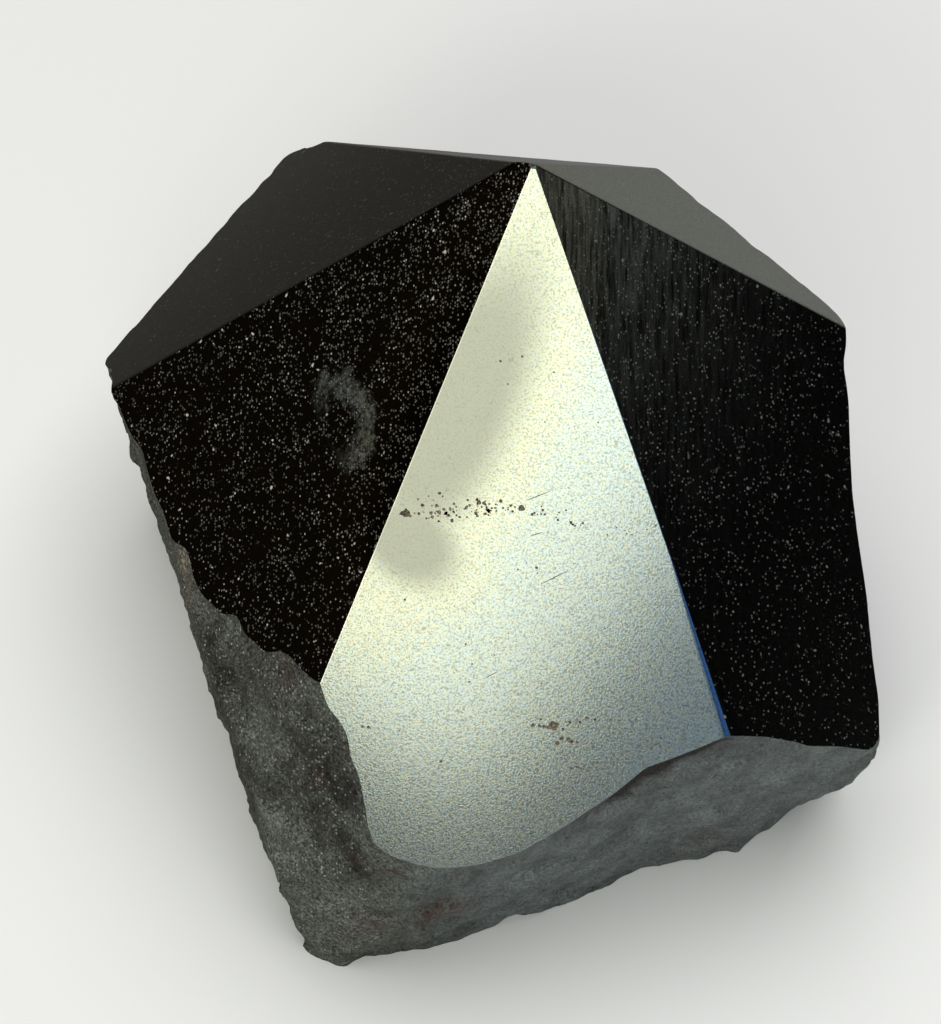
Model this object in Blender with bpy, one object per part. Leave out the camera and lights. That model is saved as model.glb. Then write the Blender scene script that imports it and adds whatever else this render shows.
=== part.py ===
"""Hematite point: one heavy stone with six polished facets, broken sides and a flat sawn base.

The stone is made here in the order it was made for real. A lump is broken out of the
massive ore, its broken skin is uneven, the foot is sawn flat so that it stands, and
last the six facets are ground down to a blunt apex. The line where a facet stops and the
rough skin begins is not drawn anywhere: it is where the grinding plane ran out of stone.
"""

import math

import bmesh
import bpy
from mathutils import Vector, noise

MM = 0.001

# Driving dimensions, in millimetres and degrees. The axis is the upright line through the
# apex. Directions are seen from above: 0 is +X, the stone's right, and 270 is its front.
HEIGHT = 74.0           # sawn base to apex
BREAK_LEVEL = 20.0      # height at which the reach of each broken side is measured
LUMP_SIZE = 140.0       # the ore before anything is broken off it
SKIN_SPACING = 5.0      # the broken skin is split until its edges are about this long
SKIN_PASSES = 6

# Broken sides: direction faced, lean of the outward normal above level, reach from the axis.
# A side that leans up stands out at the foot, and one that leans down is undercut.
BREAKS = {
    "left": (198.0, -6.5, 37.2),
    "left shoulder": (211.0, 18.0, 38.9),
    "front left": (229.5, 20.5, 41.3),
    "front left foot": (244.0, 8.0, 46.4),
    "front": (283.0, -7.5, 42.9),
    "front right": (290.0, -9.0, 40.5),
    "right foot": (312.0, -25.0, 43.6),
    "right": (8.6, -4.0, 30.6),
    "back right": (60.5, 6.0, 22.4),
    "back right foot": (60.5, -40.0, 23.0),
    "back left": (145.0, -6.0, 42.7),
    "back left foot": (150.0, -35.0, 41.0),
}

# Swells and dents of the broken skin: middle from the axis and the base, radius, height.
SWELLS = {
    "dent under the right front corner": ((16.5, -39.5, 33.0), 8.0, -0.9),
    "scoop in the front foot": ((14.0, -34.5, 3.0), 7.0, -1.2),
    "swell under the centre facet": ((-1.0, -46.5, 25.0), 8.0, 0.8),
    "swell at the right corner": ((33.0, -34.5, 22.0), 6.0, 0.9),
    "swell of the left side": ((-30.0, -23.0, 8.0), 10.0, 0.6),
    "hollow of the right side": ((33.0, -10.0, 32.0), 10.0, -0.8),
    "toe at the right front": ((20.5, -35.5, 3.0), 5.0, 0.7),
    "toe at the right corner": ((31.5, -30.0, 9.0), 5.5, 0.9),
}

# Ground facets: direction faced, slope from level, height above the apex at the axis.
FACETS = {
    "far left": (147.4, 48.1, 0.95),
    "left": (207.4, 49.0, -0.4),
    "centre": (268.0, 48.5, -0.3),
    "right": (328.6, 49.0, 0.25),
    "far right": (28.9, 45.3, 0.35),
    "back": (84.9, 50.1, 0.3),
}

# Unevenness of the broken skin all over: how wide its waves are, and how far they stand out.
WAVE_SIZE = 14.0
WAVE_HEIGHT = 0.35
RIPPLE_SIZE = 6.0
RIPPLE_HEIGHT = 0.2

STONE_GREY = (0.045, 0.048, 0.05, 1.0)
STONE_ROUGHNESS = 0.35
STONE_METALLIC = 0.85


def heading(direction, lean):
    """Unit vector for a compass direction, raised by lean above level."""
    turn = math.radians(direction)
    rise = math.radians(lean)
    return Vector((math.cos(rise) * math.cos(turn), math.cos(rise) * math.sin(turn), math.sin(rise)))


def cut_away(bm, point, normal):
    """Take off everything on the normal's side of a plane and close the cut with one face."""
    everything = bm.verts[:] + bm.edges[:] + bm.faces[:]
    cut = bmesh.ops.bisect_plane(bm, geom=everything, plane_co=point, plane_no=normal, clear_outer=True)
    rim = [item for item in cut["geom_cut"] if isinstance(item, bmesh.types.BMEdge)]
    bmesh.ops.edgeloop_fill(bm, edges=rim)
    bmesh.ops.recalc_face_normals(bm, faces=bm.faces)


def break_out_lump(bm):
    """A block of ore with its sides broken away."""
    bmesh.ops.create_cube(bm, size=LUMP_SIZE * MM)
    bmesh.ops.translate(bm, verts=bm.verts, vec=(0.0, 0.0, HEIGHT * MM / 2.0))
    level = Vector((0.0, 0.0, BREAK_LEVEL * MM))
    for direction, lean, reach in BREAKS.values():
        normal = heading(direction, lean)
        cut_away(bm, level + normal * reach * MM, normal)


def refine_skin(bm, spacing):
    """Split the long edges, a fixed number of times, so that the skin is fine enough to be uneven."""
    bmesh.ops.triangulate(bm, faces=bm.faces)
    for _ in range(SKIN_PASSES):
        long_edges = [edge for edge in bm.edges if edge.calc_length() > spacing]
        bmesh.ops.subdivide_edges(bm, edges=long_edges, cuts=1)
        bmesh.ops.triangulate(bm, faces=bm.faces)


def swell_at(place):
    """Height of the named swells and dents at a place on the skin, in millimetres."""
    height = 0.0
    for middle, radius, rise in SWELLS.values():
        distance = (place / MM - Vector(middle)).length / radius
        height += rise * math.exp(-distance * distance)
    return height


def weather_skin(bm):
    """Dull the arrises of the lump and let its faces swell and dip."""
    bmesh.ops.smooth_vert(bm, verts=bm.verts, factor=0.5, use_axis_x=True, use_axis_y=True, use_axis_z=True)
    bm.normal_update()
    for vert in bm.verts:
        wave = noise.noise(vert.co / (WAVE_SIZE * MM)) * WAVE_HEIGHT
        ripple = noise.noise(vert.co / (RIPPLE_SIZE * MM)) * RIPPLE_HEIGHT
        vert.co += vert.normal * (swell_at(vert.co) + wave + ripple) * MM


def saw_base(bm):
    cut_away(bm, Vector((0.0, 0.0, 0.0)), Vector((0.0, 0.0, -1.0)))


def grind_facets(bm):
    for direction, slope, above_apex in FACETS.values():
        normal = heading(direction, 90.0 - slope)
        cut_away(bm, Vector((0.0, 0.0, (HEIGHT + above_apex) * MM)), normal)


def centre_over_base(bm):
    """Move the stone until the middle of its outline stands over the origin."""
    xs = [vert.co.x for vert in bm.verts]
    ys = [vert.co.y for vert in bm.verts]
    middle = Vector(((min(xs) + max(xs)) / 2.0, (min(ys) + max(ys)) / 2.0, 0.0))
    bmesh.ops.translate(bm, verts=bm.verts, vec=-middle)


def hematite_material():
    material = bpy.data.materials.new("hematite")
    material.use_nodes = True
    shader = material.node_tree.nodes["Principled BSDF"]
    shader.inputs["Base Color"].default_value = STONE_GREY
    shader.inputs["Metallic"].default_value = STONE_METALLIC
    shader.inputs["Roughness"].default_value = STONE_ROUGHNESS
    return material


def make_stone(collection):
    bm = bmesh.new()
    break_out_lump(bm)
    refine_skin(bm, SKIN_SPACING * MM)
    weather_skin(bm)
    saw_base(bm)
    grind_facets(bm)
    centre_over_base(bm)
    bmesh.ops.triangulate(bm, faces=bm.faces)
    mesh = bpy.data.meshes.new("hematite_point")
    bm.to_mesh(mesh)
    bm.free()
    mesh.materials.append(hematite_material())
    stone = bpy.data.objects.new("hematite_point", mesh)
    collection.objects.link(stone)
    return stone


for leftover in list(bpy.data.objects):
    bpy.data.objects.remove(leftover, do_unlink=True)

hematite = bpy.data.collections.new("hematite")
bpy.context.scene.collection.children.link(hematite)
make_stone(hematite)
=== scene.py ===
"""Looks of the hematite point: one stone with broken sides, a sawn base and six polished facets."""

import math
import random

import bmesh
import bpy
from mathutils import Matrix, Vector, kdtree, noise


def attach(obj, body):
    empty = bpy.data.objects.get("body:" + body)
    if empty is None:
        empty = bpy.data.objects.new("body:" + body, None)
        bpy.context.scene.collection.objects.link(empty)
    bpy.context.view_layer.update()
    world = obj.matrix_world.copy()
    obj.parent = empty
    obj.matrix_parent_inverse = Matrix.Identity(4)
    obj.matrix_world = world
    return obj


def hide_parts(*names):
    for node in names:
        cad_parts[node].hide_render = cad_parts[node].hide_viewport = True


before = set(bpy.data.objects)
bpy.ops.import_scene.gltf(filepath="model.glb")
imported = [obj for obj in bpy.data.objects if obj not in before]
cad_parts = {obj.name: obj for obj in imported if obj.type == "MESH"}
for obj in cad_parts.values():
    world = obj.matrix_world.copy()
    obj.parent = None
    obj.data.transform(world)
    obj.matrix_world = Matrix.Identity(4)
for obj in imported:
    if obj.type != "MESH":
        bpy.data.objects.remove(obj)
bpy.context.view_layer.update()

# The lump of ore. It is massive, fine-grained iron oxide, dense and brittle, knocked out of the rock in
# one piece. Every side is a fracture that leans, swells and is dented by chips, with arrises dulled by
# handling. It is built around the upright line through the apex, and later moved onto its node.
MM = 0.001
cad_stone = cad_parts["hematite_point"]
cad_top = max((vert.co for vert in cad_stone.data.vertices), key=lambda co: co.z).copy()
LUMP_SIZE = 140.0 * MM
BREAK_LEVEL = Vector((0.0, 0.0, 20.0 * MM))

# Direction faced, lean of the outward normal above level, reach from the upright line in millimetres
BREAKS = {
    "left": (198.0, -6.5, 37.2),
    "left shoulder": (211.0, 18.0, 38.9),
    "front left": (229.5, 20.5, 41.3),
    "front left foot": (244.0, 8.0, 46.4),
    "front": (283.0, -7.5, 42.9),
    "front right": (290.0, -9.0, 40.5),
    "right foot": (312.0, -25.0, 43.6),
    "right": (8.6, -4.0, 30.6),
    "back right": (60.5, 6.0, 22.4),
    "back right foot": (60.5, -40.0, 23.0),
    "back left": (145.0, -6.0, 42.7),
    "back left foot": (150.0, -35.0, 41.0),
}

# Middle from the upright line and the base, radius, and height above the skin, all in millimetres
SWELLS = {
    "dent under the right front corner": ((16.5, -39.5, 33.0), 8.0, -0.9),
    "scoop in the front foot": ((14.0, -34.5, 3.0), 7.0, -1.2),
    "swell under the centre facet": ((-1.0, -46.5, 25.0), 8.0, 0.8),
    "swell at the right corner": ((33.0, -34.5, 22.0), 6.0, 0.9),
    "swell of the left side": ((-30.0, -23.0, 8.0), 10.0, 0.6),
    "hollow of the right side": ((33.0, -10.0, 32.0), 10.0, -0.8),
    "toe at the right front": ((20.5, -35.5, 3.0), 5.0, 0.7),
    "toe at the right corner": ((31.5, -30.0, 9.0), 5.5, 0.9),
    "notch in the front foot": ((12.6, -34.6, 1.0), 2.2, -0.5),
    "notch between the toes": ((27.4, -31.5, 6.0), 2.4, -0.7),
    "corner of the front foot": ((-20.5, -46.5, 1.0), 4.0, 0.7),
    "furrow down the front": ((10.4, -40.0, 16.0), 3.0, -0.5),
    "furrow across the left side": ((-28.5, -30.0, 22.0), 3.0, -0.5),
}

# The rough sawing leaves this much on each facet and under the base
SAWING_ALLOWANCE = 2.5 * MM
SKIN_SPACING = 0.45 * MM
ARRIS_PASSES = 8

BROKEN = 0
POLISHED = 1
SAWN = 2
POCKET = 3


def heading(direction, lean):
    """Unit vector for a direction seen from above, raised by lean above level."""
    turn = math.radians(direction)
    rise = math.radians(lean)
    return Vector((math.cos(rise) * math.cos(turn), math.cos(rise) * math.sin(turn), math.sin(rise)))


def cut_away(bm, point, normal, finish):
    """Take off everything on the normal's side of a plane and close the cut with one face."""
    everything = bm.verts[:] + bm.edges[:] + bm.faces[:]
    cut = bmesh.ops.bisect_plane(bm, geom=everything, plane_co=point, plane_no=normal, clear_outer=True)
    rim = [item for item in cut["geom_cut"] if isinstance(item, bmesh.types.BMEdge)]
    caps = bmesh.ops.edgeloop_fill(bm, edges=rim, mat_nr=finish)["faces"]
    for cap in caps:
        cap.normal_update()
        if cap.normal.dot(normal) < 0.0:
            cap.normal_flip()


def work_over(bm, kind, **settings):
    """Run one modifier over the whole stone, through a helper object that is then removed."""
    helper = bpy.data.objects.new("helper", bpy.data.meshes.new("helper"))
    bm.to_mesh(helper.data)
    bpy.context.scene.collection.objects.link(helper)
    modifier = helper.modifiers.new("work", kind)
    for name, value in settings.items():
        setattr(modifier, name, value)
    bm.clear()
    bm.from_object(helper, bpy.context.evaluated_depsgraph_get())
    bpy.data.objects.remove(helper)


stone = bmesh.new()
bmesh.ops.create_cube(stone, size=LUMP_SIZE)
bmesh.ops.translate(stone, verts=stone.verts, vec=(0.0, 0.0, cad_top.z / 2.0))
for direction, lean, reach in BREAKS.values():
    side = heading(direction, lean)
    cut_away(stone, BREAK_LEVEL + side * reach * MM, side, BROKEN)

# The facets come first as rough saw cuts. Their planes are needed here, because the skin is only worth
# its detail below them. Direction faced, slope from level, height above the apex in millimetres.
FACETS = {
    "far left": (147.4, 48.1, 0.95),
    "left": (207.4, 49.0, -0.4),
    "centre": (268.0, 48.5, -0.3),
    "right": (328.6, 49.0, 0.25),
    "far right": (28.9, 45.3, 0.35),
    "back": (84.9, 50.1, 0.3),
}
APEX = Vector((0.0, 0.0, 74.0 * MM))
DOWN = Vector((0.0, 0.0, -1.0))
facings = {name: heading(turn, 90.0 - slope) for name, (turn, slope, _) in FACETS.items()}
planes = {name: APEX + Vector((0.0, 0.0, above * MM)) for name, (_, _, above) in FACETS.items()}

for name, facing in facings.items():
    cut_away(stone, planes[name] + facing * SAWING_ALLOWANCE, facing, POLISHED)
cut_away(stone, DOWN * SAWING_ALLOWANCE, DOWN, SAWN)
work_over(stone, "REMESH", mode="VOXEL", voxel_size=SKIN_SPACING)
for _ in range(ARRIS_PASSES):
    bmesh.ops.smooth_vert(stone, verts=stone.verts, factor=0.5, use_axis_x=True, use_axis_y=True, use_axis_z=True)

# The break follows the grains: broad waves, scallops where flakes came off, and a patchwork of little
# planes that each tilt their own way. Size and height in millimetres.
WAVES = ((14.0, 0.35), (6.0, 0.2), (2.4, 0.12), (1.1, 0.08))
PATCHES = ((8.0, 0.6), (3.2, 0.45), (1.6, 0.3))
SCALLOPS = (4.5, 0.3)
MEAN_CELL_DISTANCE = 0.4

# The centre facet ends in a lip, and the break starts under it: from and to along X, depth, all in mm
LIP_REACH = (2.0, 21.0)
LIP_DEPTH = 0.3
LIP_BELOW = 0.55
LIP_WIDTH = 0.5


def bump_at(place, middle, radius, rise):
    """Height of one rounded swell or dent at a place, in millimetres."""
    distance = (place - Vector(middle)).length / radius
    return rise * math.exp(-distance * distance)


def patch_at(place, size, rise):
    """Height of a patchwork of tilted planes at a place, in millimetres."""
    middle = noise.voronoi(place / size)[1][0]
    tilt = noise.cell_vector(middle * 17.0) - Vector((0.5, 0.5, 0.5))
    return 2.0 * rise * tilt.dot(place / size - middle)


def lip_at(place):
    """How much a place lies in the hollow under the lip of the centre facet, from 0 to 1."""
    start, end = LIP_REACH
    along = (place.x - start) / (end - start)
    if not 0.0 < along < 1.0 or place.y > 0.0:
        return 0.0
    below = (planes["centre"] - place * MM).dot(facings["centre"]) / MM
    across = (below - LIP_BELOW) / LIP_WIDTH
    return math.sin(math.pi * along ** 1.5) * math.exp(-across * across)


stone.normal_update()
outward = [vert.normal.copy() for vert in stone.verts]
for vert, out in zip(stone.verts, outward):
    place = vert.co / MM
    height = sum(bump_at(place, *swell) for swell in SWELLS.values())
    height += sum(noise.noise(place / size) * rise for size, rise in WAVES)
    height += sum(patch_at(place, *patch) for patch in PATCHES)
    height += (noise.voronoi(place / SCALLOPS[0])[0][0] - MEAN_CELL_DISTANCE) * SCALLOPS[1]
    vert.co += out * height * MM

# Where the break reaches each facet, as seen from above in millimetres: the ragged rim of the polish
RIMS = {
    "left": [
        (-39.2, -3.4), (-38.7, -5.3), (-38.0, -7.7), (-37.0, -9.8), (-36.4, -11.7), (-36.0, -13.1),
        (-35.0, -14.0), (-34.3, -14.6), (-34.0, -15.5), (-33.6, -17.5), (-32.7, -19.6), (-32.0, -20.5),
        (-31.2, -21.4), (-31.0, -22.0), (-30.5, -22.5), (-28.9, -23.1), (-28.6, -23.9), (-28.4, -24.7),
        (-27.8, -25.7), (-26.9, -26.6), (-26.3, -27.6), (-25.5, -28.3), (-24.4, -28.7), (-23.6, -29.4),
        (-22.3, -31.1), (-21.1, -32.5), (-20.2, -33.6)],
    "centre": [
        (-20.0, -33.9), (-19.6, -34.9), (-19.0, -35.5), (-18.3, -36.0), (-17.7, -36.8), (-17.5, -37.6),
        (-17.3, -38.5), (-16.8, -39.3), (-16.4, -40.1), (-16.2, -41.0), (-15.9, -42.1), (-15.7, -43.4),
        (-15.1, -44.4), (-14.4, -44.8), (-13.3, -45.3), (-11.6, -45.7), (-9.8, -46.0), (-8.0, -46.2),
        (-4.7, -46.0), (-0.8, -45.2), (3.8, -43.4), (8.3, -41.4), (9.8, -40.6), (11.5, -39.6),
        (12.5, -39.4), (15.4, -38.7), (16.6, -38.4), (19.9, -37.4)],
    "right": [
        (20.3, -37.4), (22.2, -36.6), (23.7, -36.0), (25.1, -35.6), (26.5, -35.2), (27.8, -35.0),
        (29.5, -34.3), (31.4, -33.5), (33.0, -33.0), (34.6, -32.5), (35.7, -31.4), (35.6, -27.5),
        (35.0, -24.5), (34.3, -18.9), (33.3, -13.9), (32.9, -11.4), (32.7, -8.8), (32.5, -3.1),
        (31.9, -0.3), (32.2, 1.1), (32.4, 2.2)],
}
CHIP = ((-24.4, -30.9, 32.3), 1.5, -1.0)
RIM_SPACING = 0.4
RIM_REACH = 4.5
RIM_BLEND = 0.6
RIM_FADE = 1.8

rim_places = []
for name, corners in RIMS.items():
    facing = facings[name]
    level = planes[name].z / MM
    corners = [Vector((x, y, level - (facing.x * x + facing.y * y) / facing.z)) for x, y in corners]
    for start, end in zip(corners, corners[1:]):
        steps = max(1, round((end - start).length / RIM_SPACING))
        rim_places += [start.lerp(end, step / steps) for step in range(steps)]
rim_tree = kdtree.KDTree(len(rim_places))
for index, place in enumerate(rim_places):
    rim_tree.insert(place, index)
rim_tree.balance()

for vert, out in zip(stone.verts, outward):
    share = 0.0
    pull = 0.0
    closest = RIM_REACH
    for place, _, _ in rim_tree.find_range(vert.co / MM, RIM_REACH):
        gap = place - vert.co / MM
        depth = gap.dot(out)
        aside = (gap - out * depth).length
        weight = math.exp(-(aside / RIM_BLEND) ** 2) + 1e-6
        share += weight
        pull += weight * depth
        closest = min(closest, aside)
    if share:
        vert.co += out * pull / share * math.exp(-(closest / RIM_FADE) ** 2) * MM
    late = bump_at(vert.co / MM, *CHIP) - lip_at(vert.co / MM) * LIP_DEPTH
    vert.co += out * late * MM
work_over(stone, "REMESH", mode="VOXEL", voxel_size=SKIN_SPACING)

# The sawn base. A diamond saw cuts the foot off flat so that the point stands up, and the cut is left
# as the blade left it.
cut_away(stone, Vector((0.0, 0.0, 0.0)), DOWN, SAWN)

# The six facets. Each one is ground flat on a wheel and polished with finer and finer grit. Where a
# grinding plane runs out of stone the broken skin begins, with a sharp ragged rim.
for name, facing in facings.items():
    cut_away(stone, planes[name], facing, POLISHED)
own_top = max((vert.co for vert in stone.verts), key=lambda co: co.z).copy()
onto_node = Vector((cad_top.x - own_top.x, cad_top.y - own_top.y, 0.0))

# The edges between the facets lose their sharpness in the last polish, some more than others and the
# front right one most of all at its foot. Radius at the apex and at the foot, in millimetres.
EDGE_RADII = (
    ("far left", "left", 0.9, 0.9),
    ("left", "centre", 0.4, 0.4),
    ("centre", "right", 0.25, 0.25),
    ("centre", "right", -6.0, 2.4),
    ("right", "far right", 0.9, 0.9),
    ("far right", "back", 0.6, 0.6),
    ("back", "far left", 0.6, 0.6),
)
EDGE_LENGTH = 55.0 * MM
EASING_CUTS = 7


def edge_line(first, second):
    """A point on the edge between two facets, nearest the apex, and the edge's way down."""
    one = facings[first]
    two = facings[second]
    along = one.cross(two).normalized()
    if along.z > 0.0:
        along.negate()
    cosine = one.dot(two)
    out_one = (planes[first] - APEX).dot(one)
    out_two = (planes[second] - APEX).dot(two)
    share = 1.0 - cosine * cosine
    offset = one * ((out_one - cosine * out_two) / share) + two * ((out_two - cosine * out_one) / share)
    return APEX + offset, along


for first, second, *radii in EDGE_RADII:
    start, along = edge_line(first, second)
    angle = facings[first].angle(facings[second])
    for step in range(EASING_CUTS):
        part = (step + 1.0) / (EASING_CUTS + 1.0)
        one = math.sin((1.0 - part) * angle) / math.sin(angle)
        two = math.sin(part * angle) / math.sin(angle)
        easing = (facings[first] * one + facings[second] * two).normalized()
        depth_share = math.cos((part - 0.5) * angle) / math.cos(0.5 * angle) - 1.0
        top_depth, foot_depth = (radius * MM * depth_share for radius in radii)
        tilt = (foot_depth - top_depth) / EDGE_LENGTH
        cut_away(stone, start - easing * top_depth, (easing + along * tilt).normalized(), POLISHED)

# The tip is worn down to a dull spot a few tenths of a millimetre across
TIP_WEAR = 0.22 * MM
tip = max((vert.co for vert in stone.verts), key=lambda co: co.z).copy()
cut_away(stone, tip - heading(270.0, 70.0) * TIP_WEAR, heading(270.0, 70.0), BROKEN)

# A hollow of the skin that a facet bridges over is shut off inside the stone, and goes. Slivers left by
# the cuts are closed up.
SLIVER = 0.004 * MM
pieces = []
unseen = set(stone.verts)
while unseen:
    ahead = [unseen.pop()]
    piece = []
    while ahead:
        vert = ahead.pop()
        piece.append(vert)
        joined = [edge.other_vert(vert) for edge in vert.link_edges]
        fresh = [other for other in joined if other in unseen]
        unseen.difference_update(fresh)
        ahead += fresh
    pieces.append(piece)
pieces.sort(key=len)
for piece in pieces[:-1]:
    bmesh.ops.delete(stone, geom=piece, context="VERTS")
print("pieces", [len(piece) for piece in pieces])
bmesh.ops.dissolve_degenerate(stone, edges=stone.edges, dist=SLIVER)
bmesh.ops.triangulate(stone, faces=stone.faces)

# A seam of softer grains crosses the stone, and along it grains have dropped out of the centre facet.
# Beside it are a few pits of their own and short scratches. Middle from the upright line, in
# millimetres, then the radius and how many pits lie around it, and how far they scatter.
PITS = {
    "start of the seam": ((-11.9, -22.1, 48.2), 0.36, 1, 0.0),
    "beside it": ((-11.2, -22.2, 48.1), 0.17, 5, 0.4),
    "first grains": ((-8.9, -22.3, 48.2), 0.11, 24, 1.2),
    "second grains": ((-6.2, -22.0, 48.6), 0.12, 44, 1.5),
    "pair above": ((-4.5, -21.5, 49.2), 0.19, 4, 0.35),
    "third grains": ((-3.3, -22.0, 48.8), 0.11, 30, 1.2),
    "dark pair": ((-1.2, -21.9, 48.9), 0.2, 5, 0.4),
    "fourth grains": ((1.5, -22.4, 48.5), 0.12, 14, 1.1),
    "lone pits": ((4.6, -23.2, 47.8), 0.11, 6, 0.6),
    "last grains": ((8.5, -23.5, 47.6), 0.08, 14, 1.8),
    "cluster": ((2.3, -36.6, 32.4), 0.26, 18, 0.7),
    "cluster foot": ((3.4, -37.6, 31.3), 0.24, 12, 0.6),
    "stray pits": ((5.4, -36.2, 32.8), 0.11, 9, 1.2),
    "pits by the lip": ((13.3, -38.1, 31.3), 0.13, 16, 1.0),
    "row by the cluster": ((5.2, -39.4, 29.4), 0.11, 6, 0.9),
    "pits in the left margin": ((-15.8, -36.4, 31.9), 0.13, 5, 0.5),
    "strays above the seam": ((-9.3, -21.2, 49.4), 0.1, 5, 0.6),
    "strays in the middle": ((1.4, -26.2, 44.4), 0.09, 6, 1.6),
    "strays high up": ((0.5, -14.0, 58.0), 0.07, 8, 3.0),
    "strays on the left": ((-9.0, -29.5, 41.0), 0.08, 14, 5.0),
    "strays on the right": ((9.0, -31.0, 39.0), 0.08, 12, 4.0),
    "strays low down": ((-5.0, -39.0, 29.0), 0.09, 16, 5.0),
}
SCRATCHES = {
    "above the seam": ((-0.3, -21.5, 49.4), (2.1, -20.9, 50.2)),
    "below the seam": ((0.2, -23.8, 46.8), (1.4, -23.6, 47.1)),
    "in the middle": ((1.0, -27.1, 43.1), (4.1, -26.1, 44.4)),
    "near the foot": ((-4.3, -33.3, 35.9), (-2.9, -32.8, 36.5)),
}
SCRATCH_RADIUS = 0.045
PIT_ROUGHNESS = 0.5
PIT_SINK = 0.2
PIT_LAYERS = 3
PIT_GAP = 1.6

scatter = random.Random(11)
centre_out = facings["centre"]
centre_across = Vector((0.0, 0.0, 1.0)).cross(centre_out).normalized()
centre_up = centre_out.cross(centre_across)
layers = [[] for _ in range(PIT_LAYERS)]
for middle, radius, count, spread in PITS.values():
    for _ in range(count):
        along = scatter.gauss(0.0, spread)
        up = scatter.gauss(0.0, spread if spread > 2.0 else 0.3 * spread)
        size = radius * min(1.7, math.exp(scatter.gauss(-0.1, 0.4)))
        spot = Vector(middle) + centre_across * along + centre_up * up
        spot += centre_out * ((planes["centre"] / MM - spot).dot(centre_out) - PIT_SINK * size)
        for layer in layers:
            if all((spot - other).length > PIT_GAP * (size + other_size) for other, other_size in layer):
                layer.append((spot, size))
                break
scratches = [()] * PIT_LAYERS + [SCRATCHES.values()]
for layer, strokes in zip(layers + [[]], scratches):
    picks = bmesh.new()
    for spot, size in layer:
        grain = bmesh.ops.create_icosphere(picks, subdivisions=2, radius=size)["verts"]
        for vert in grain:
            vert.co *= 1.0 + PIT_ROUGHNESS * noise.noise(1.3 * vert.co / size + spot * 3.0)
            vert.co = (vert.co + spot) * MM
    for start, end in strokes:
        start = Vector(start)
        end = Vector(end)
        middle = (start + end) / 2.0
        middle += centre_out * (planes["centre"] / MM - middle).dot(centre_out)
        along = (end - start).normalized()
        turn = Matrix((along, centre_out.cross(along), centre_out)).transposed()
        groove = bmesh.ops.create_icosphere(picks, subdivisions=2, radius=SCRATCH_RADIUS)["verts"]
        for vert in groove:
            vert.co.x *= 0.5 * (end - start).length / SCRATCH_RADIUS
            vert.co = (turn @ vert.co + middle) * MM
    for face in picks.faces:
        face.material_index = POCKET
    picked = bpy.data.objects.new("picked", bpy.data.meshes.new("picked"))
    picks.to_mesh(picked.data)
    picks.free()
    bpy.context.scene.collection.objects.link(picked)
    work_over(stone, "BOOLEAN", operation="DIFFERENCE", object=picked, solver="EXACT")
    bpy.data.objects.remove(picked)
    print("pieces layer", len(layer), len(stone.faces))
    bmesh.ops.triangulate(stone, faces=stone.faces, ngon_method="EAR_CLIP")
print("indices", [sum(1 for f in stone.faces if f.material_index == i) for i in range(4)])
print("open edges", sum(1 for e in stone.edges if len(e.link_faces) != 2), "faces", len(stone.faces))

# How the facets differ, from 0 to 1: how many grains show as specks, and how far the last polish
# left streaks
SPECKLE = {"far left": 0.35, "left": 1.0, "centre": 0.15, "right": 0.5, "far right": 0.35, "back": 0.4}
STREAKS = {"far left": 0.0, "left": 0.0, "centre": 0.0, "right": 1.0, "far right": 0.2, "back": 0.5}
speckle = stone.faces.layers.float.new("speckle")
streaks = stone.faces.layers.float.new("streaks")
for face in stone.faces:
    nearest = max(facings, key=lambda name: facings[name].dot(face.normal))
    face[speckle] = SPECKLE[nearest]
    face[streaks] = STREAKS[nearest]
    face.smooth = face.material_index in (BROKEN, POCKET)

# Places on the broken skin that differ from the rest: middle, radius and amount
RUST = {
    "above the front left corner": ((-23.9, -30.7, 33.0), 1.6, 0.9),
    "in the left side": ((-20.7, -38.0, 24.5), 1.0, 0.6),
    "left of the foot of the polish": ((-17.0, -43.8, 18.9), 0.9, 0.8),
    "under the foot of the polish": ((-13.7, -45.7, 19.5), 1.0, 1.0),
    "streak in the front": ((-7.9, -44.8, 10.9), 2.4, 0.9),
    "left end of the streak": ((-10.4, -45.3, 9.0), 1.6, 0.7),
    "low in the front": ((-14.9, -45.9, 9.4), 2.2, 0.7),
    "low in the front, further left": ((-17.5, -46.0, 7.0), 2.0, 0.4),
    "pink haze at the right foot": ((18.2, -33.7, 5.7), 4.0, 0.35),
}
TAN = {
    "patch in the left rim": ((-34.6, -15.5, 29.9), 1.6, 1.0),
    "patch below it": ((-34.0, -18.0, 27.5), 1.6, 0.6),
}
# In SHADE the front and its right end are painted light. The left side, the valley down the front with its foot, and
# the furrow of the left side are painted shade. The other places make the skin darker, paler or bluer.
SHADE = {
    "dark band beside the centre facet": ((-19.5, -39.0, 24.0), 5.0, -0.6),
    "dark foot of that band": ((-17.5, -43.5, 18.5), 3.0, -0.5),
    "shaded furrow of the left side": ((-30.0, -27.0, 24.0), 3.0, -0.6),
    "dark upper left corner": ((-31.0, -24.0, 27.0), 2.5, -0.4),
    "blue streak down the left side": ((-27.5, -33.0, 24.0), 4.0, 1.7),
    "blue streak further down": ((-24.5, -38.0, 15.0), 4.0, 1.4),
    "pale foot of the left side": ((-20.5, -44.0, 9.0), 5.0, 0.6),
    "front": ((5.0, -41.0, 15.0), 14.0, 0.5),
    "shaded valley down the front": ((10.9, -39.4, 18.9), 2.0, -0.7),
    "shaded foot of that valley": ((9.1, -39.1, 13.1), 2.0, -0.6),
    "lit right end of the front": ((24.0, -34.0, 18.0), 10.0, 0.6),
    "left side": ((-28.0, -33.0, 20.0), 14.0, -0.9),
}
rust = stone.verts.layers.float.new("rust")
tan = stone.verts.layers.float.new("tan")
shade = stone.verts.layers.float.new("shade")
glitter = stone.verts.layers.float.new("glitter")
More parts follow.
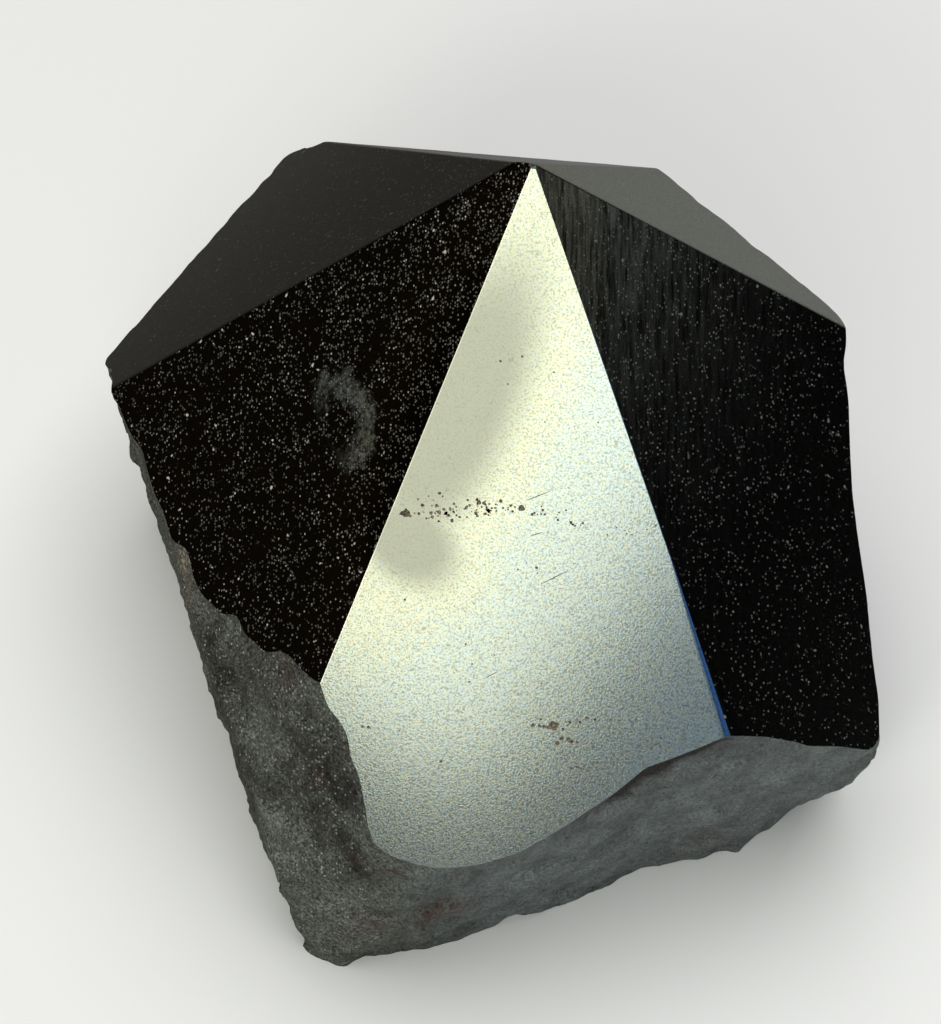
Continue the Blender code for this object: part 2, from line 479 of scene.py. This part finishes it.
for vert in stone.verts:
    place = vert.co / MM
    vert[rust] = sum(bump_at(place, *spot) for spot in RUST.values())
    vert[tan] = sum(bump_at(place, *spot) for spot in TAN.values())
    # The hollow under the lip of the centre facet is made darker here, as painted shade.
    vert[shade] = sum(bump_at(place, *spot) for spot in SHADE.values()) - 2.5 * lip_at(place)
    turned = math.degrees(math.atan2(place.y, place.x)) % 360.0
    vert[glitter] = 1.0 / (1.0 + math.exp((turned - 256.0) / 3.0))

bmesh.ops.translate(stone, verts=stone.verts, vec=onto_node)
mesh = bpy.data.meshes.new("hematite")
stone.to_mesh(mesh)
stone.free()
print("validate", mesh.validate(verbose=True), "faces", len(mesh.polygons))


def linear(colour):
    """An sRGB hex colour as linear red, green, blue and alpha."""
    parts = [int(colour[i:i + 2], 16) / 255.0 for i in (1, 3, 5)]
    return tuple(p / 12.92 if p <= 0.04045 else ((p + 0.055) / 1.055) ** 2.4 for p in parts) + (1.0,)


def feed(node, inputs):
    """Give a node's inputs, by name or number, values, sockets or other nodes' first outputs."""
    for name, value in inputs.items():
        if isinstance(name, str):
            socket = next(socket for socket in node.inputs if socket.enabled and socket.name == name)
        else:
            socket = node.inputs[name]
        if isinstance(value, bpy.types.Node):
            value = next(output for output in value.outputs if output.enabled)
        if isinstance(value, bpy.types.NodeSocket):
            node.id_data.links.new(value, socket)
        else:
            socket.default_value = value


def add(tree, kind, inputs=None, **settings):
    """Add a node with its settings, and feed its inputs."""
    made = tree.nodes.new("ShaderNode" + kind)
    for name, value in settings.items():
        setattr(made, name, value)
    feed(made, inputs or {})
    return made


# Broken hematite: grains of iron oxide about 0.3 mm across, fused in a dull dark body. Each grain is a
# little crystal with a face of its own, so that a few flash like sugar as the light catches them. It is
# bluest and glitters most on the left, is brown with rust in the hollows, and is smoother in front.
broken = bpy.data.materials.new("broken hematite")
broken.use_nodes = True
tree = broken.node_tree
shader = tree.nodes["Principled BSDF"]
place = add(tree, "TexCoord").outputs["Object"]
shade_here = add(tree, "Attribute", attribute_name="shade").outputs["Fac"]
rust_here = add(tree, "Attribute", attribute_name="rust").outputs["Fac"]
tan_here = add(tree, "Attribute", attribute_name="tan").outputs["Fac"]
glitter_here = add(tree, "Attribute", attribute_name="glitter").outputs["Fac"]

patch = add(tree, "TexNoise", {"Vector": place, "Scale": 1.0 / (3.5 * MM), "Detail": 5.0, "Roughness": 0.65})
wide = add(tree, "MapRange", {"Value": patch, "From Min": 0.3, "From Max": 0.7, "To Min": -0.8, "To Max": 0.8})
# The shade attribute brings its painted light and painted shade into the body colour here, with the skin's own
# darker, paler and bluer tones.
lean = add(tree, "Math", {0: wide, 1: shade_here}, operation="ADD")
body_mix = add(tree, "MapRange", {"Value": lean, "From Min": -1.35, "From Max": 1.35})
upper = add(tree, "Mix", {"Factor": glitter_here, "A": linear("#8b9493"), "B": linear("#888e80")}, data_type="RGBA")
body = add(tree, "Mix", {"Factor": body_mix, "A": linear("#35322c"), "B": upper}, data_type="RGBA")
fleck = add(tree, "TexNoise", {"Vector": place, "Scale": 1.0 / (0.9 * MM), "Detail": 3.0, "Roughness": 0.6})
rust_edge = add(tree, "MapRange", {"Value": fleck, "From Min": 0.38, "From Max": 0.58})
rusted = add(tree, "Math", {0: rust_edge, 1: rust_here}, operation="MULTIPLY", use_clamp=True)
rusty = add(tree, "Mix", {"Factor": rusted, "A": body, "B": linear("#5f4438")}, data_type="RGBA")
tanned = add(tree, "Mix", {"Factor": tan_here, "A": rusty, "B": linear("#8d8374")}, data_type="RGBA")

cell = add(tree, "TexVoronoi", {"Vector": place, "Scale": 1.0 / (0.32 * MM)})
pick = add(tree, "SeparateColor", {"Color": cell.outputs["Color"]})
grain = add(tree, "TexNoise", {"Vector": place, "Scale": 1.0 / (0.28 * MM), "Detail": 3.0, "Roughness": 0.7})
# The skin's colour follows its grain bump: darker in the hollows and paler on the crests, most of all on the left.
# This is painted shade and painted light over the grain.
darkest_hollow_shade = add(tree, "MapRange", {"Value": glitter_here, "To Min": 0.68, "To Max": 0.25})
palest_crest_light = add(tree, "MapRange", {"Value": glitter_here, "To Min": 1.2, "To Max": 1.45})
hollow = add(tree, "MapRange", {"Value": grain, "From Min": 0.38, "From Max": 0.62, "To Min": darkest_hollow_shade, "To Max": palest_crest_light})
skin_tone_and_shade = add(tree, "VectorMath", {0: tanned, "Scale": hollow}, operation="SCALE")
luck = add(tree, "Math", {0: pick, 1: glitter_here, 2: 0.0}, operation="MULTIPLY_ADD")
cluster = add(tree, "MapRange", {"Value": patch, "From Min": 0.35, "From Max": 0.65, "To Min": -0.1, "To Max": 0.1})
lucky = add(tree, "Math", {0: luck, 1: cluster}, operation="ADD")
chosen = add(tree, "MapRange", {"Value": lucky, "From Min": 0.62, "From Max": 0.85})
flat = add(tree, "MapRange", {"Value": cell.outputs["Distance"], "From Min": 0.45, "From Max": 0.25})
flash = add(tree, "Math", {0: chosen, 1: flat}, operation="MULTIPLY")
skin_colour = add(tree, "Mix", {"Factor": flash, "A": skin_tone_and_shade, "B": linear("#c0c4bf")}, data_type="RGBA")
metal = add(tree, "MapRange", {"Value": flash, "To Min": 0.25, "To Max": 0.9})
gloss = add(tree, "MapRange", {"Value": flash, "To Min": 0.5, "To Max": 0.22})

plain = add(tree, "NewGeometry").outputs["Normal"]
random_way = add(tree, "VectorMath", {0: cell.outputs["Color"], 1: (0.5, 0.5, 0.5)}, operation="SUBTRACT")
random_tilt = add(tree, "VectorMath", {0: random_way, "Scale": 1.2}, operation="SCALE")
tilted = add(tree, "VectorMath", {0: plain, 1: random_tilt}, operation="ADD")
crystal = add(tree, "VectorMath", {0: tilted}, operation="NORMALIZE")
hackle = add(tree, "Bump", {"Height": fleck, "Strength": 1.0, "Distance": 0.25 * MM, "Normal": crystal})
relief = add(tree, "Bump", {"Height": grain, "Strength": 1.0, "Distance": 0.35 * MM, "Normal": hackle})
feed(shader, {"Base Color": skin_colour, "Metallic": metal, "Roughness": gloss, "Normal": relief})

# Polished hematite: a black steel mirror made satin by its grain. Where grains stand proud, are pulled
# out or differ in hardness the surface is dull, which shows as dark dots in the bright facet and as pale
# specks in the dark ones.
polished = bpy.data.materials.new("polished hematite")
polished.use_nodes = True
tree = polished.node_tree
shader = tree.nodes["Principled BSDF"]
place = add(tree, "TexCoord").outputs["Object"]
speckle_here = add(tree, "Attribute", attribute_name="speckle").outputs["Fac"]
streaks_here = add(tree, "Attribute", attribute_name="streaks").outputs["Fac"]

# Two soft patches of the centre facet with a darker mirror colour and less of the grain, and a warmer margin
# around them: a painted dark reflection. Middle across and up the facet from the apex, half width and half
# length in millimetres, and turn in degrees.
DARK_REFLECTION_PATCHES = (
    ((-6.5, -23.5), (6.5, 18.0), -22.0),
    ((-10.8, -37.0), (6.0, 4.5), -40.0),
)
on_facet = add(tree, "Mapping", {"Vector": place, "Location": APEX + onto_node,
                                 "Rotation": (math.radians(48.5), 0.0, math.radians(-2.0))}, vector_type="TEXTURE")
dark_patch_far = 9.0
for (aside, up), (half_width, half_length), turn in DARK_REFLECTION_PATCHES:
    patch = add(tree, "Mapping", {"Vector": on_facet, "Location": (aside * MM, up * MM, 0.0),
                                  "Rotation": (0.0, 0.0, math.radians(turn)),
                                  "Scale": (half_width * MM, half_length * MM, 6.0 * MM)}, vector_type="TEXTURE")
    patch_far = add(tree, "VectorMath", {0: patch}, operation="LENGTH").outputs["Value"]
    dark_patch_far = add(tree, "Math", {0: patch_far, 1: dark_patch_far}, operation="MINIMUM")
dark_reflection_patch = add(tree, "MapRange", {"Value": dark_patch_far, "From Min": 1.25, "From Max": 0.5}, interpolation_type="SMOOTHSTEP")
warm = add(tree, "MapRange", {"Value": dark_patch_far, "From Min": 2.0, "From Max": 1.1}, interpolation_type="SMOOTHSTEP")

grain = add(tree, "TexNoise", {"Vector": place, "Scale": 1.0 / (0.19 * MM), "Detail": 2.0, "Roughness": 0.6})
grain_mask = add(tree, "MapRange", {"Value": grain, "From Min": 0.36, "From Max": 0.52})
hue = add(tree, "TexNoise", {"Vector": place, "Scale": 1.0 / (0.45 * MM), "Detail": 4.0, "Roughness": 0.7})
hue_mask = add(tree, "MapRange", {"Value": hue, "From Min": 0.38, "From Max": 0.62, "To Min": -0.1, "To Max": 0.75})
hue_here = add(tree, "Math", {0: warm, 1: 0.5, 2: hue_mask}, operation="MULTIPLY_ADD", use_clamp=True)
steel = add(tree, "Mix", {"Factor": hue_here, "A": linear("#8c9593"), "B": linear("#989782")}, data_type="RGBA")
dim = add(tree, "MapRange", {"Value": grain_mask, "To Min": 0.6, "To Max": 1.0})
tone = add(tree, "VectorMath", {0: steel, "Scale": dim}, operation="SCALE")

# Specks: a fine noise breaks through where a broad one lets it, most of all near the apex
down = add(tree, "Mapping", {"Vector": place, "Location": APEX + onto_node}, vector_type="TEXTURE")
down_far = add(tree, "VectorMath", {0: down}, operation="LENGTH").outputs["Value"]
worn = add(tree, "MapRange", {"Value": down_far, "From Min": 10.0 * MM, "From Max": 45.0 * MM,
                              "To Min": 1.0, "To Max": 0.5})
salt = add(tree, "TexVoronoi", {"Vector": place, "Scale": 1.0 / (0.24 * MM)})
chance = add(tree, "SeparateColor", {"Color": salt.outputs["Color"]})
clump = add(tree, "TexNoise", {"Vector": place, "Scale": 1.0 / (2.6 * MM), "Detail": 4.0, "Roughness": 0.6})
thick = add(tree, "MapRange", {"Value": clump, "From Min": 0.35, "From Max": 0.65, "To Min": 0.12, "To Max": 0.5})
crowd = add(tree, "Math", {0: thick, 1: worn}, operation="MULTIPLY")
crowd_here = add(tree, "Math", {0: crowd, 1: speckle_here}, operation="MULTIPLY")
through = add(tree, "Math", {0: chance, 1: crowd_here}, operation="ADD")

# Streaks of the last polish, stretched along the way up the right facet
combed = add(tree, "Mapping", {"Vector": place, "Rotation": (math.radians(31.0), 0.0, 0.0),
                               "Scale": (1.0, 9.0, 1.0)}, vector_type="TEXTURE")
comb = add(tree, "TexNoise", {"Vector": combed, "Scale": 1.0 / (0.45 * MM), "Detail": 3.0, "Roughness": 0.6})
combing = add(tree, "MapRange", {"Value": comb, "From Min": 0.4, "From Max": 0.7, "To Min": -0.08, "To Max": 0.16})
worn_more = add(tree, "Math", {0: worn, 1: 6.0}, operation="POWER")
worn_streaks = add(tree, "Math", {0: worn_more, 1: streaks_here}, operation="MULTIPLY")
stroke_here = add(tree, "Math", {0: combing, 1: worn_streaks}, operation="MULTIPLY")
haze = add(tree, "MapRange", {"Value": comb, "From Min": 0.35, "From Max": 0.7, "To Min": 0.05, "To Max": 0.55})
haze_here = add(tree, "Math", {0: haze, 1: worn_streaks}, operation="MULTIPLY")

# A row of grains marks the seam across the left facet
SEAM_MIDDLE = Vector((-20.1, -21.35, 41.8)) * MM + onto_node
SEAM_NORMAL = Vector((0.069, 0.995, 0.065))
row = add(tree, "Mapping", {"Vector": place, "Location": SEAM_MIDDLE}, vector_type="TEXTURE")
row_off = add(tree, "VectorMath", {0: row, 1: SEAM_NORMAL}, operation="DOT_PRODUCT").outputs["Value"]
wander = add(tree, "MapRange", {"Value": clump, "To Min": -1.2 * MM, "To Max": 1.2 * MM})
row_way = add(tree, "Math", {0: row_off, 1: wander}, operation="ADD")
row_gap = add(tree, "Math", {0: row_way}, operation="ABSOLUTE")
row_near = add(tree, "MapRange", {"Value": row_gap, "From Min": 0.35 * MM, "From Max": 0.1 * MM})
row_far = add(tree, "VectorMath", {0: row}, operation="LENGTH").outputs["Value"]
row_end = add(tree, "MapRange", {"Value": row_far, "From Min": 9.5 * MM, "From Max": 6.0 * MM})
row_here = add(tree, "Math", {0: row_near, 1: row_end}, operation="MULTIPLY")
row_lift = add(tree, "Math", {0: row_here, 1: 0.3}, operation="MULTIPLY")

speck_sum = add(tree, "Math", {0: through, 1: stroke_here}, operation="ADD")
raised = add(tree, "Math", {0: speck_sum, 1: row_lift}, operation="ADD")
sifted = add(tree, "MapRange", {"Value": raised, "From Min": 0.97, "From Max": 1.03})
dot = add(tree, "MapRange", {"Value": salt.outputs["Distance"], "From Min": 0.55, "From Max": 0.25})
dots = add(tree, "Math", {0: sifted, 1: dot}, operation="MULTIPLY")
speck_fine = add(tree, "Math", {0: dots, 1: speckle_here}, operation="MULTIPLY")
coarse = add(tree, "TexNoise", {"Vector": place, "Scale": 1.0 / (0.7 * MM), "Detail": 1.0, "Roughness": 0.5})
speck_coarse = add(tree, "MapRange", {"Value": coarse, "From Min": 0.725, "From Max": 0.78})
coarse_here = add(tree, "Math", {0: speck_coarse, 1: speckle_here}, operation="MULTIPLY")
speck = add(tree, "Math", {0: speck_fine, 1: coarse_here}, operation="MAXIMUM")
bright = add(tree, "Math", {0: chance.outputs["Green"], 1: 6.0}, operation="POWER")
bright_row = add(tree, "Math", {0: chance.outputs["Green"], 1: row_here}, operation="MULTIPLY")
bright_row_half = add(tree, "Math", {0: bright_row, 1: 0.35}, operation="MULTIPLY")
brighter = add(tree, "Math", {0: bright, 1: bright_row_half}, operation="MAXIMUM")
bright_here = add(tree, "Math", {0: brighter, 1: coarse_here}, operation="MAXIMUM")
pale = add(tree, "Mix", {"Factor": hue_mask, "A": linear("#c8cac4"), "B": linear("#d2b4a6")}, data_type="RGBA")
speck_tone = add(tree, "Mix", {"Factor": bright_here, "A": linear("#2a2720"), "B": pale}, data_type="RGBA")

# The greasy print of a fingertip on the left facet: a hook of haze, and the film around it
SMUDGE = Vector((-18.4, -11.9, 48.5)) * MM + onto_node
SMUDGE_OPENING = Vector((-0.66, -0.16, -0.74))
hook = add(tree, "Mapping", {"Vector": place, "Location": SMUDGE, "Scale": (4.5 * MM, 4.9 * MM, 3.6 * MM)},
           vector_type="TEXTURE")
hook_far = add(tree, "VectorMath", {0: hook}, operation="LENGTH")
torn = add(tree, "TexNoise", {"Vector": place, "Scale": 1.0 / (1.8 * MM), "Detail": 4.0, "Roughness": 0.7})
tear = add(tree, "MapRange", {"Value": torn, "From Min": 0.3, "From Max": 0.7, "To Min": -0.25, "To Max": 0.25})
hook_edge = add(tree, "Math", {0: hook_far.outputs["Value"], 1: tear}, operation="ADD")
ring_out = add(tree, "MapRange", {"Value": hook_edge, "From Min": 1.2, "From Max": 0.95})
ring_in = add(tree, "MapRange", {"Value": hook_edge, "From Min": 0.5, "From Max": 0.85})
ring_whole = add(tree, "Math", {0: ring_out, 1: ring_in}, operation="MULTIPLY")
gap = add(tree, "VectorMath", {0: hook, 1: SMUDGE_OPENING}, operation="DOT_PRODUCT").outputs["Value"]
closed = add(tree, "MapRange", {"Value": gap, "From Min": 0.6, "From Max": -0.2})
ring = add(tree, "Math", {0: ring_whole, 1: closed}, operation="MULTIPLY")
ridge = add(tree, "TexNoise", {"Vector": place, "Scale": 1.0 / (0.5 * MM), "Detail": 4.0, "Roughness": 0.7})
ridges = add(tree, "MapRange", {"Value": ridge, "From Min": 0.4, "From Max": 0.66, "To Min": 0.1, "To Max": 1.0})
print_film = add(tree, "Math", {0: ring, 1: ridges}, operation="MULTIPLY")
film = add(tree, "Math", {0: print_film, 1: haze_here}, operation="MAXIMUM")

# Where the specks lie the mirror is gone, and where the film lies it is thinner
speck_share = add(tree, "Math", {0: speck, 1: 0.9}, operation="MULTIPLY")
film_share = add(tree, "Math", {0: film, 1: 0.5}, operation="MULTIPLY")
dull = add(tree, "Math", {0: speck_share, 1: film_share}, operation="MAXIMUM")
film_tone = add(tree, "Mix", {"Factor": film, "A": speck_tone, "B": linear("#5c625c")}, data_type="RGBA")
colour = add(tree, "Mix", {"Factor": dull, "A": tone, "B": film_tone}, data_type="RGBA")
metal = add(tree, "MapRange", {"Value": dull, "To Min": 1.0, "To Max": 0.0})

# The patches of the centre facet take a darker mirror colour here: a painted dark reflection.
dark_reflection_share = add(tree, "Math", {0: dark_reflection_patch, 1: 0.85}, operation="MULTIPLY")
tone_with_dark_reflection = add(tree, "Mix", {"Factor": dark_reflection_share, "A": colour, "B": linear("#66665c")}, data_type="RGBA")
satin = add(tree, "MapRange", {"Value": dull, "To Min": 0.125, "To Max": 0.6})
relief_here = add(tree, "MapRange", {"Value": dark_reflection_patch, "To Min": 0.0042 * MM, "To Max": 0.0028 * MM})
relief = add(tree, "Bump", {"Height": grain, "Strength": 1.0, "Distance": relief_here})
feed(shader, {"Base Color": tone_with_dark_reflection, "Metallic": metal, "Roughness": satin, "Normal": relief})

# Sawn hematite: the base is as the diamond blade left it, flat and matt, scored by its rim with shallow
# arcs. It is a paler and duller steel grey than the polish, and the arcs show only in raking light.
BLADE_RADIUS = 150.0 * MM
BLADE_SIDE = Vector((0.8, -0.6, 0.0))
SAW_LINE = 0.6 * MM
WAVES_PER_UNIT = 20.0 / (2.0 * math.pi)
sawn = bpy.data.materials.new("sawn hematite")
sawn.use_nodes = True
tree = sawn.node_tree
shader = tree.nodes["Principled BSDF"]
place = add(tree, "TexCoord").outputs["Object"]
blade = add(tree, "Mapping", {"Vector": place, "Location": BLADE_SIDE * BLADE_RADIUS}, vector_type="TEXTURE")
arcs = add(tree, "TexWave", {"Vector": blade, "Scale": 1.0 / (SAW_LINE * WAVES_PER_UNIT), "Distortion": 0.6,
                             "Detail": 2.0}, wave_type="RINGS", rings_direction="Z")
crumb = add(tree, "TexNoise", {"Vector": place, "Scale": 1.0 / (0.4 * MM), "Detail": 3.0})
crumb_mask = add(tree, "MapRange", {"Value": crumb, "From Min": 0.35, "From Max": 0.65})
tone = add(tree, "Mix", {"Factor": crumb_mask, "A": linear("#4a4b49"), "B": linear("#5f605d")}, data_type="RGBA")
matt = add(tree, "MapRange", {"Value": crumb_mask, "To Min": 0.5, "To Max": 0.65})
scored = add(tree, "Bump", {"Height": arcs, "Strength": 1.0, "Distance": 0.02 * MM})
feed(shader, {"Base Color": tone, "Metallic": 0.6, "Roughness": matt, "Normal": scored})

# Grain pocket: a hole where a grain dropped out of the polish. Its walls are crushed ore and dried
# polishing paste, so they are matt and brown with paler crumbs instead of dark and mirror-like.
pocket = bpy.data.materials.new("grain pocket")
pocket.use_nodes = True
tree = pocket.node_tree
shader = tree.nodes["Principled BSDF"]
place = add(tree, "TexCoord").outputs["Object"]
crumb = add(tree, "TexNoise", {"Vector": place, "Scale": 1.0 / (0.2 * MM), "Detail": 2.0})
crumb_mask = add(tree, "MapRange", {"Value": crumb, "From Min": 0.42, "From Max": 0.6})
tone = add(tree, "Mix", {"Factor": crumb_mask, "A": linear("#564a3c"), "B": linear("#a39784")}, data_type="RGBA")
feed(shader, {"Base Color": tone, "Metallic": 0.0, "Roughness": 0.8})

for finish in (broken, polished, sawn, pocket):
    mesh.materials.append(finish)
hematite = bpy.data.objects.new("hematite", mesh)
bpy.context.scene.collection.objects.link(hematite)
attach(hematite, "root")
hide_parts("hematite_point")

# The floor: a pale studio table, evenly pale to the camera. In reflections it is darker, most of all towards the back
# left: painted shade.
bpy.ops.mesh.primitive_plane_add(size=4.0)
floor = bpy.context.object
floor.name = "floor"
paper = bpy.data.materials.new("pale table with painted shade in reflections")
paper.use_nodes = True
tree = paper.node_tree
shader = tree.nodes["Principled BSDF"]
seen = add(tree, "LightPath").outputs["Is Glossy Ray"]
across = add(tree, "SeparateXYZ", {"Vector": add(tree, "TexCoord").outputs["Object"]})
slant = add(tree, "Math", {0: across.outputs["Y"], 1: -0.35, 2: across.outputs["X"]}, operation="MULTIPLY_ADD")
side = add(tree, "MapRange", {"Value": slant, "From Min": -105.0 * MM, "From Max": 45.0 * MM},
           interpolation_type="SMOOTHSTEP")
# Painted shade: the darker colour the table shows in reflections.
painted_shade_in_reflections = add(tree, "Mix", {"Factor": side, "A": linear("#3d3937"), "B": linear("#a09f9c")}, data_type="RGBA")
tone = add(tree, "Mix", {"Factor": seen, "A": linear("#f0f0ee"), "B": painted_shade_in_reflections}, data_type="RGBA")
feed(shader, {"Base Color": tone, "Roughness": 0.9, "Specular IOR Level": 0.1})
floor.data.materials.append(paper)

# The lights
world = bpy.data.worlds.new("studio")
bpy.context.scene.world = world
world.use_nodes = True
tree = world.node_tree
seen = add(tree, "LightPath").outputs["Is Camera Ray"]
tone = add(tree, "Mix", {"Factor": seen, "A": linear("#080808"), "B": linear("#e6e6e4")}, data_type="RGBA")
feed(tree.nodes["Background"], {"Color": tone})

stone_middle = Vector((0.0, 0.0, 30.0 * MM))


def panel(name, direction, lean, distance, width, height, radiance, colour, roll=0.0):
    """A soft box that faces the middle of the stone, given its brightness."""
    light = bpy.data.lights.new(name, "AREA")
    light.shape = "RECTANGLE"
    light.size = width
    light.size_y = height
    light.energy = radiance * math.pi * width * height
    light.color = linear(colour)[:3]
    lamp = bpy.data.objects.new(name, light)
    bpy.context.scene.collection.objects.link(lamp)
    toward = heading(direction, lean)
    lamp.location = stone_middle + toward * distance
    turn = toward.to_track_quat("Z", "Y").to_matrix() @ Matrix.Rotation(math.radians(roll), 3, "Z")
    lamp.rotation_euler = turn.to_euler()


panel("window", 261.4, 38.5, 0.7, 0.32, 0.32, 3.75, "#fbfff5", roll=-28.0)
panel("lamp", 239.0, 33.0, 0.8, 0.26, 0.2, 6.5, "#fffdf4")
panel("canopy", 75.0, 75.0, 1.0, 1.2, 1.2, 2.5, "#ffffff")
panel("room", 285.0, 10.0, 0.8, 0.9, 0.33, 0.5, "#e8f0ff")
panel("sky", 281.0, 28.0, 0.7, 0.24, 0.2, 0.75, "#b8d0ec")
panel("blue sky", 302.0, 30.0, 0.7, 0.16, 0.16, 1.2, "#4f86e0")
panel("wood", 176.0, 10.0, 0.7, 0.4, 0.25, 0.015, "#c09050")

# The camera stands in front, well above, and about 0.4 m from the stone.
CAMERA_ELEVATION = 56.0
CAMERA_DISTANCE = 400.0 * MM
aim = Vector((-5.604, -9.713, 30.0)) * MM + onto_node
camera = bpy.data.objects.new("camera", bpy.data.cameras.new("camera"))
camera.data.lens = 137.81
camera.data.sensor_width = 36.0
camera.data.clip_start = 0.01
toward = heading(270.0, CAMERA_ELEVATION)
camera.location = aim + toward * CAMERA_DISTANCE
camera.rotation_euler = toward.to_track_quat("Z", "Y").to_euler()
bpy.context.scene.collection.objects.link(camera)
bpy.context.scene.camera = camera
bpy.context.scene.view_settings.view_transform = "Standard"
